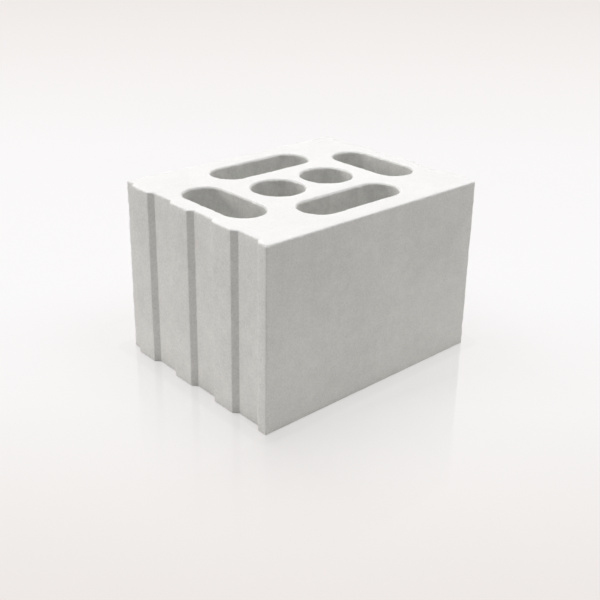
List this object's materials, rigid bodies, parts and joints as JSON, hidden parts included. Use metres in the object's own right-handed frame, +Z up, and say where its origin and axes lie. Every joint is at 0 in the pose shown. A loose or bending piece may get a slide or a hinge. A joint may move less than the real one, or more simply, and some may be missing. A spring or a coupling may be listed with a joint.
{
  "type": "calcium silicate block",
  "caption": "Pressed hollow wall block with tongue-and-groove ends, blind slot cores round the top and round grip holes through its middle.",
  "frame": {"origin": "middle of the underside, on the surface that the block stands on", "axes": "+X along the wall from the near end to the far end, +Y through the wall to its rear face, +Z up to the face with the open cores"},
  "size_m": [0.303, 0.24, 0.198],
  "materials": {
    "calcium_silicate": "fine sandy matt surface of pressed sand and lime, off-white"
  },
  "bodies": {
    "root": {"block": "calcium_silicate"}
  },
  "joints": []
}
